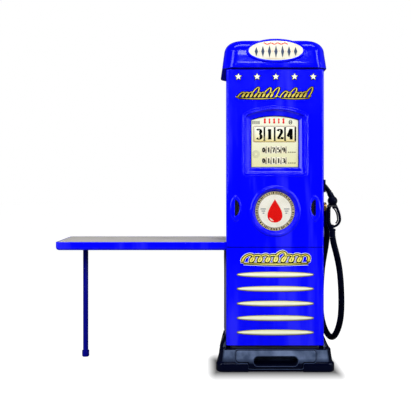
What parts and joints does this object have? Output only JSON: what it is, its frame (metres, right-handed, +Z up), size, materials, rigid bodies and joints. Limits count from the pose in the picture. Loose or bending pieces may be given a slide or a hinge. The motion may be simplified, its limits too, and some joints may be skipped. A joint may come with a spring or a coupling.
{
  "type": "fuel pump cabinet with side table",
  "caption": "Tall retro fuel pump with an arched dial window, round emblem, oval sign, hanging nozzle and hose, and a fixed side table on one leg.",
  "frame": {"origin": "centre of the plinth's underside, on the floor", "axes": "+Z up; the front with the dial faces -Y; the table lies towards -X and the nozzle hangs at +X"},
  "size_m": [1.6881, 0.545, 1.898],
  "materials": {
    "plinth_gloss_black": "black gel coat, glossy",
    "structural_steel": "satin black paint",
    "zinc_hardware": "zinc plated",
    "blue_enamel": "glossy blue enamel with a clear coat",
    "blue_edge_band": "glossy blue edge band",
    "grey_laminate": "matt warm grey laminate on board",
    "shelf_board": "satin lacquered board",
    "cream_trim": "glossy cream",
    "gold_trim": "gold and cream print, glossy",
    "white_enamel": "white reflector paint",
    "lamp_glass": "frosted",
    "sign_cream": "glossy cream acrylic",
    "dial_print": "printed card, satin",
    "emblem_print": "printed disc, satin",
    "clear_glass": "clear",
    "catch_magnet": "moulded magnet housing",
    "pull_chrome": "polished",
    "hook_brass": "polished",
    "black_casting": "glossy black coating",
    "black_fitting": "satin black",
    "hose_rubber": "semi-gloss black rubber"
  },
  "bodies": {
    "root": {"plinth": "plinth_gloss_black", "plinth_floor": "structural_steel", "plinth_riser": "structural_steel", "plinth_apron": "plinth_gloss_black", "plinth_bolts": "zinc_hardware", "lower_cabinet": "blue_enamel", "upper_cabinet": "blue_enamel", "inner_frame": "structural_steel", "lower_shelf": "shelf_board", "middle_shelf": "shelf_board", "lower_front_panel": "blue_enamel", "louvre_trims": "cream_trim", "lower_scroll": "gold_trim", "dial_light_box": "white_enamel", "dial_lamp": "lamp_glass", "emblem_light_box": "white_enamel", "emblem_lamp": "lamp_glass", "front_hinge_posts": "zinc_hardware", "rear_hinge_posts": "zinc_hardware", "door_catches": "catch_magnet", "cap": "blue_enamel", "sign_rim": "blue_enamel", "sign_plate": "sign_cream", "sign_lamp": "lamp_glass", "table_top": "grey_laminate", "table_edge": "blue_edge_band", "table_brackets": "structural_steel", "table_screws": "zinc_hardware", "table_leg": "blue_enamel", "leg_flange": "blue_enamel", "nozzle_boot": "black_casting", "nozzle_hook": "hook_brass", "nozzle_fork": "structural_steel", "hose_outlet": "black_casting", "outlet_bolts": "zinc_hardware", "hose_ferrule": "black_fitting", "hose": "hose_rubber"},
    "front_door": {"front_door": "blue_enamel", "front_hinge_leaves": "zinc_hardware", "window_bezel": "blue_enamel", "window_glass": "clear_glass", "dial_card": "dial_print", "emblem_bezel": "blue_enamel", "emblem_glass": "clear_glass", "emblem_disc": "emblem_print", "star_badges": "cream_trim", "upper_scroll": "gold_trim", "pull_cup_left": "pull_chrome", "pull_cup_right": "pull_chrome"},
    "rear_door": {"rear_door": "blue_enamel", "rear_hinge_leaves": "zinc_hardware"},
    "rear_lock": {"rear_lock": "zinc_hardware"},
    "nozzle": {"nozzle_body": "black_casting", "nozzle_spout": "black_casting", "nozzle_guard": "black_casting", "lever_pin": "zinc_hardware", "hose_swivel": "black_fitting"},
    "lever": {"nozzle_lever": "black_casting"},
    "foot": {"leg_foot": "blue_enamel"}
  },
  "joints": [
    {"name": "front_door_hinge", "type": "hinge", "parent": "root", "child": "front_door", "pos_m": [0.2725, -0.199, 0.8], "axis": [0, 0, 1], "range_deg": [0, 110]},
    {"name": "rear_door_hinge", "type": "hinge", "parent": "root", "child": "rear_door", "pos_m": [-0.256, 0.244, 0.32], "axis": [0, 0, 1], "range_deg": [0, 110]},
    {"name": "rear_lock_turn", "type": "hinge", "parent": "rear_door", "child": "rear_lock", "pos_m": [0.215, 0.25, 0.95], "axis": [0, -1, 0], "range_deg": [0, 90]},
    {"name": "nozzle_lift", "type": "slide", "parent": "root", "child": "nozzle", "axis": [1, 0, 0], "range_m": [0, 0.15]},
    {"name": "lever_squeeze", "type": "hinge", "parent": "nozzle", "child": "lever", "pos_m": [0.36, -0.11, 0.923], "axis": [0, 1, 0], "range_deg": [0, 15], "stiffness_Nm_per_rad": 2},
    {"name": "foot_turn", "type": "hinge", "parent": "root", "child": "foot", "pos_m": [-1.142, 0.076, 0.02], "axis": [0, 0, 1], "continuous": true}
  ]
}
